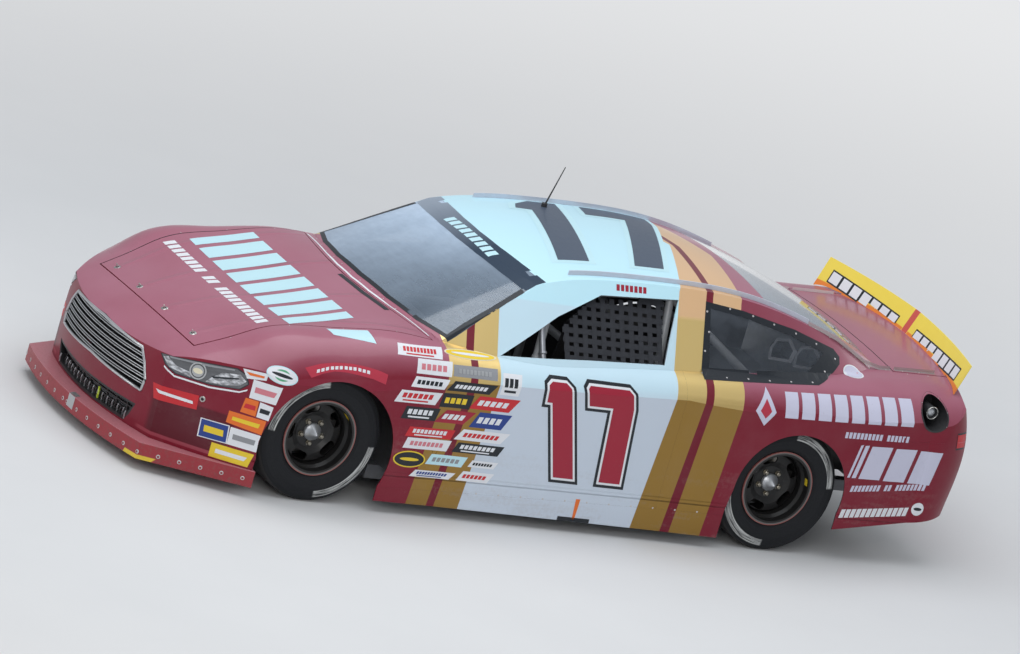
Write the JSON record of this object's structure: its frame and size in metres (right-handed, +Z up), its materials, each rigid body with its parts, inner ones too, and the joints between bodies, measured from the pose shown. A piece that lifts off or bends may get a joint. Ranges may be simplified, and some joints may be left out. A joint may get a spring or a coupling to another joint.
{
  "type": "stock car",
  "caption": "Closed oval racing saloon with composite body panels, tube cage, steered front wheels, lifting hood and a deck lid that carries a tall spoiler.",
  "frame": {"origin": "on the ground under the middle of the car's length and width", "axes": "+Z up, nose towards -Y, the car's own left side towards +X"},
  "size_m": [1.9426, 4.9351, 1.5485],
  "materials": {
    "body_red": "satin wrap over composite panels",
    "lip_red": "scuffed satin",
    "roof_paint": "satin wrap over steel",
    "spoiler_yellow": "satin",
    "clear_glass": "clear polycarbonate",
    "grille_black": "black with bright bars",
    "frame_paint": "satin paint over steel tube",
    "cage_paint": "satin grey paint",
    "sheet_metal": "bare folded sheet",
    "seat_metal": "black covered shell",
    "cast_metal": "rough cast",
    "axle_steel": "machined and oiled",
    "wheel_black": "satin black over pressed steel",
    "tyre_rubber": "worn slick rubber",
    "strap_black": "woven webbing",
    "radiator_black": "black finned core",
    "exhaust_steel": "heat stained",
    "grip_black": "suede covered rim",
    "whip_black": "thin whip",
    "cell_black": "moulded box"
  },
  "bodies": {
    "chassis": {"nose": "body_red", "cowl": "body_red", "fender_left": "body_red", "fender_right": "body_red", "door_left": "body_red", "door_right": "body_red", "quarter_left": "body_red", "quarter_right": "body_red", "rear_bumper": "body_red", "deck_panel": "body_red", "side_skirts": "body_red", "splitter": "lip_red", "greenhouse": "roof_paint", "roof_rails": "roof_paint", "windshield": "clear_glass", "rear_window": "clear_glass", "quarter_windows": "clear_glass", "grille": "grille_black", "lower_grille": "grille_black", "fuel_filler": "grille_black", "antenna": "whip_black", "frame_rails": "frame_paint", "roll_cage": "cage_paint", "floor_pan": "sheet_metal", "dashboard": "sheet_metal", "seat": "seat_metal", "steering_column": "axle_steel", "window_net": "strap_black", "engine_block": "cast_metal", "radiator": "radiator_black", "exhaust": "exhaust_steel", "fuel_cell": "cell_black", "control_arms": "frame_paint", "rear_axle": "axle_steel", "driveshaft": "axle_steel", "trailing_arms": "frame_paint"},
    "hood": {"hood": "body_red"},
    "deck_lid": {"deck_lid": "body_red", "spoiler": "spoiler_yellow"},
    "knuckle_left": {"knuckle_left": "axle_steel"},
    "knuckle_right": {"knuckle_right": "axle_steel"},
    "steering_link": {"steering_link": "axle_steel"},
    "steering_wheel": {"steering_wheel": "grip_black"},
    "wheel_front_left": {"wheel_front_left": "wheel_black", "tyre_front_left": "tyre_rubber", "brake_disc_front_left": "axle_steel"},
    "wheel_front_right": {"wheel_front_right": "wheel_black", "tyre_front_right": "tyre_rubber", "brake_disc_front_right": "axle_steel"},
    "wheel_rear_left": {"wheel_rear_left": "wheel_black", "tyre_rear_left": "tyre_rubber", "brake_disc_rear_left": "axle_steel"},
    "wheel_rear_right": {"wheel_rear_right": "wheel_black", "tyre_rear_right": "tyre_rubber", "brake_disc_rear_right": "axle_steel"}
  },
  "joints": [
    {"name": "hood_hinge", "type": "hinge", "parent": "chassis", "child": "hood", "pos_m": [0, -0.8605, 0.974], "axis": [-1, 0, 0], "range_deg": [0, 50]},
    {"name": "deck_hinge", "type": "hinge", "parent": "chassis", "child": "deck_lid", "pos_m": [0, 2.0165, 1.003], "axis": [1, 0, 0], "range_deg": [0, 50]},
    {"name": "steer_left", "type": "hinge", "parent": "chassis", "child": "knuckle_left", "pos_m": [0.655, -1.4645, 0.35], "axis": [0, 0, 1], "range_deg": [-22, 22]},
    {"name": "steer_right", "type": "hinge", "parent": "chassis", "child": "knuckle_right", "pos_m": [-0.655, -1.4645, 0.35], "axis": [0, 0, 1], "range_deg": [-22, 22]},
    {"name": "link_slide", "type": "slide", "parent": "chassis", "child": "steering_link", "axis": [1, 0, 0], "range_m": [-0.04224, 0.04224]},
    {"name": "steering_turn", "type": "hinge", "parent": "chassis", "child": "steering_wheel", "pos_m": [0.38, -0.2895, 0.79], "axis": [0, 0.9272, 0.3746], "range_deg": [-264, 264]},
    {"name": "spin_front_left", "type": "hinge", "parent": "knuckle_left", "child": "wheel_front_left", "pos_m": [0.7685, -1.4645, 0.35], "axis": [1, 0, 0], "continuous": true},
    {"name": "spin_front_right", "type": "hinge", "parent": "knuckle_right", "child": "wheel_front_right", "pos_m": [-0.7685, -1.4645, 0.35], "axis": [1, 0, 0], "continuous": true},
    {"name": "spin_rear_left", "type": "hinge", "parent": "chassis", "child": "wheel_rear_left", "pos_m": [0.7685, 1.3295, 0.35], "axis": [1, 0, 0], "continuous": true},
    {"name": "spin_rear_right", "type": "hinge", "parent": "chassis", "child": "wheel_rear_right", "pos_m": [-0.7685, 1.3295, 0.35], "axis": [1, 0, 0], "continuous": true}
  ],
  "couplings": [
    {"joint": "steer_right", "follows": "steer_left", "ratio": 1},
    {"joint": "link_slide", "follows": "steer_left", "m_per_rad": 0.11},
    {"joint": "steering_turn", "follows": "steer_left", "ratio": 12}
  ]
}
